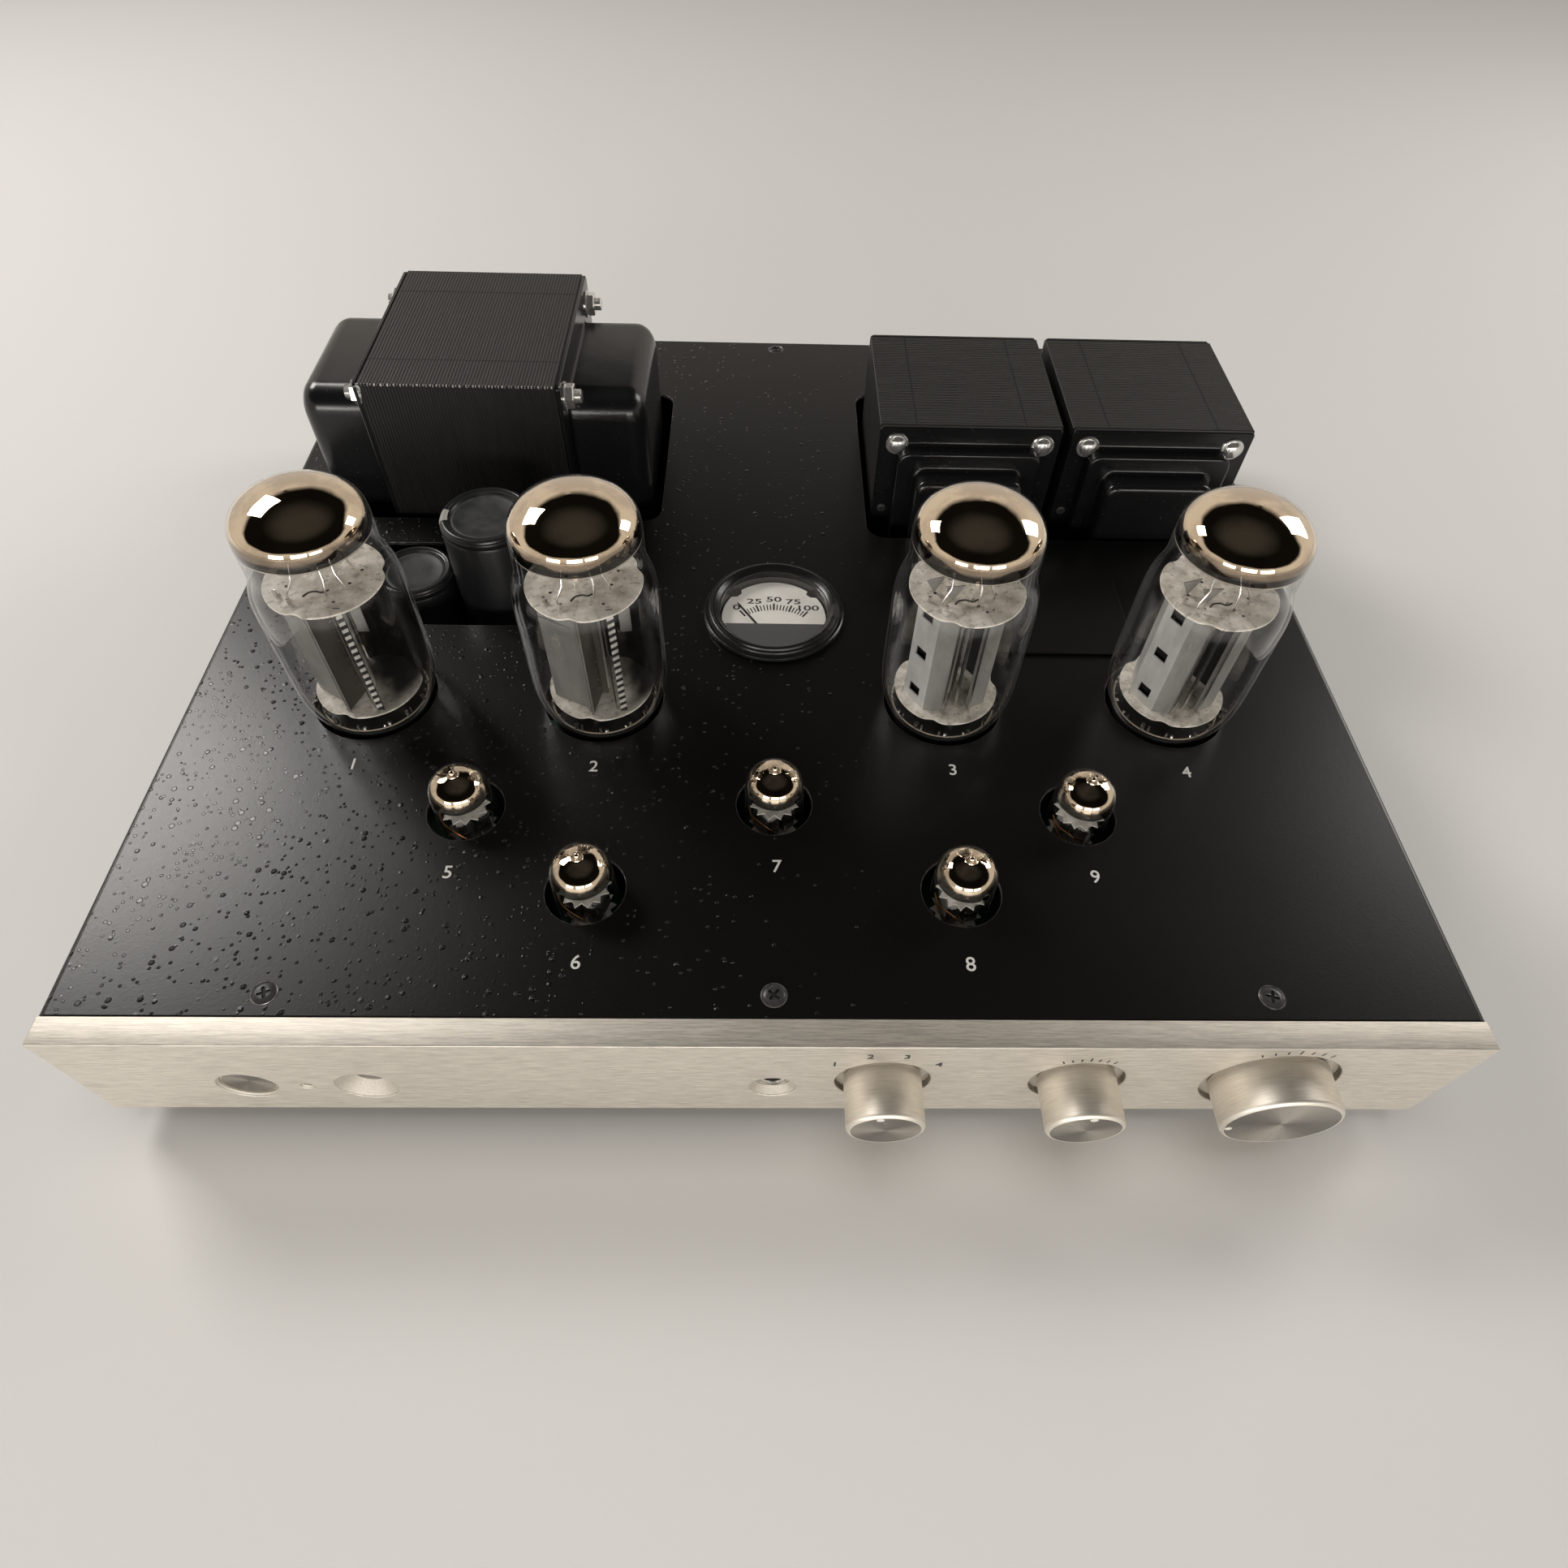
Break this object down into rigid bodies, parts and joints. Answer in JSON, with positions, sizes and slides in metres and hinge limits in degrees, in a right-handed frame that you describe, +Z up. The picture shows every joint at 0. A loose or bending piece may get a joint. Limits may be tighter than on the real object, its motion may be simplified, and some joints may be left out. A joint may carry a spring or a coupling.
{
  "type": "tube amplifier",
  "caption": "Stereo tube amplifier: black steel case with tubes, a round meter, transformers and capacitors standing on its deck, and turned knobs on a thick aluminium front plate.",
  "frame": {"origin": "on the floor under the middle of the overall box", "axes": "+X to the right seen from the front, +Y to the back, +Z up; the front plate faces -Y"},
  "size_m": [0.457, 0.4426, 0.1641],
  "materials": {
    "black_steel": "satin black powder coat",
    "faceplate": "fine brushed, clear anodised",
    "rubber": "matt",
    "tube_glass": "clear glass with a mirror getter in the dome",
    "electrodes": "dull grey sheet metal with off-white mica discs",
    "tube_base": "black moulded",
    "board": "green glass-fibre board with ceramic sockets",
    "core": "black varnished steel laminations",
    "bell": "gloss black lacquer",
    "sleeve": "black shrink sleeve, grey top disc",
    "meter_body": "black moulded",
    "dial": "cream printed dial",
    "needle": "black",
    "meter_glass": "clear",
    "knob": "turned, bright edge",
    "control": "plated",
    "lamp": "clear",
    "window": "dark filter",
    "nickel": "nickel plated",
    "black_plastic": "black moulded"
  },
  "bodies": {
    "amplifier": {"access_cover": "black_steel", "balance_pot": "control", "capacitor_short": "sleeve", "capacitor_tall": "sleeve", "chassis_tray": "black_steel", "circuit_board": "board", "driver_tube_1_electrodes": "electrodes", "driver_tube_1_glass": "tube_glass", "driver_tube_2_electrodes": "electrodes", "driver_tube_2_glass": "tube_glass", "driver_tube_3_electrodes": "electrodes", "driver_tube_3_glass": "tube_glass", "driver_tube_4_electrodes": "electrodes", "driver_tube_4_glass": "tube_glass", "driver_tube_5_electrodes": "electrodes", "driver_tube_5_glass": "tube_glass", "faceplate": "faceplate", "foot_front_left": "rubber", "foot_front_right": "rubber", "foot_rear_left": "rubber", "foot_rear_right": "rubber", "headphone_jack": "nickel", "indicator_lamp": "lamp", "line_jacks": "nickel", "mains_inlet": "black_plastic", "meter_case": "meter_body", "meter_dial": "dial", "meter_window": "meter_glass", "output_transformer_left_bell_front": "bell", "output_transformer_left_bell_rear": "bell", "output_transformer_left_core": "core", "output_transformer_right_bell_front": "bell", "output_transformer_right_bell_rear": "bell", "output_transformer_right_core": "core", "power_switch": "control", "power_transformer_bell_left": "bell", "power_transformer_bell_right": "bell", "power_transformer_core": "core", "power_tube_1_base": "tube_base", "power_tube_1_electrodes": "electrodes", "power_tube_1_glass": "tube_glass", "power_tube_2_base": "tube_base", "power_tube_2_electrodes": "electrodes", "power_tube_2_glass": "tube_glass", "power_tube_3_base": "tube_base", "power_tube_3_electrodes": "electrodes", "power_tube_3_glass": "tube_glass", "power_tube_4_base": "tube_base", "power_tube_4_electrodes": "electrodes", "power_tube_4_glass": "tube_glass", "remote_window": "window", "selector_switch": "control", "speaker_terminals": "black_plastic", "top_cover": "black_steel", "volume_pot": "control"},
    "button": {"power_button": "knob"},
    "selector": {"selector_knob": "knob"},
    "balance": {"balance_knob": "knob"},
    "volume": {"volume_knob": "knob"},
    "needle": {"meter_needle": "needle"}
  },
  "joints": [
    {"name": "power_push", "type": "slide", "parent": "amplifier", "child": "button", "axis": [0, 1, 0], "range_m": [0, 0.0025], "stiffness_N_per_m": 300},
    {"name": "selector_turn", "type": "hinge", "parent": "amplifier", "child": "selector", "pos_m": [0.0364, -0.20495, 0.0391], "axis": [0, 1, 0], "range_deg": [-30, 60]},
    {"name": "balance_turn", "type": "hinge", "parent": "amplifier", "child": "balance", "pos_m": [0.1014, -0.20495, 0.0391], "axis": [0, 1, 0], "range_deg": [-150, 150]},
    {"name": "volume_turn", "type": "hinge", "parent": "amplifier", "child": "volume", "pos_m": [0.1664, -0.20495, 0.0391], "axis": [0, 1, 0], "range_deg": [-45, 255]},
    {"name": "needle_swing", "type": "hinge", "parent": "amplifier", "child": "needle", "pos_m": [0, -0.02715, 0.0658], "axis": [0, 0, -1], "range_deg": [-3, 69], "stiffness_Nm_per_rad": 0.0005}
  ]
}
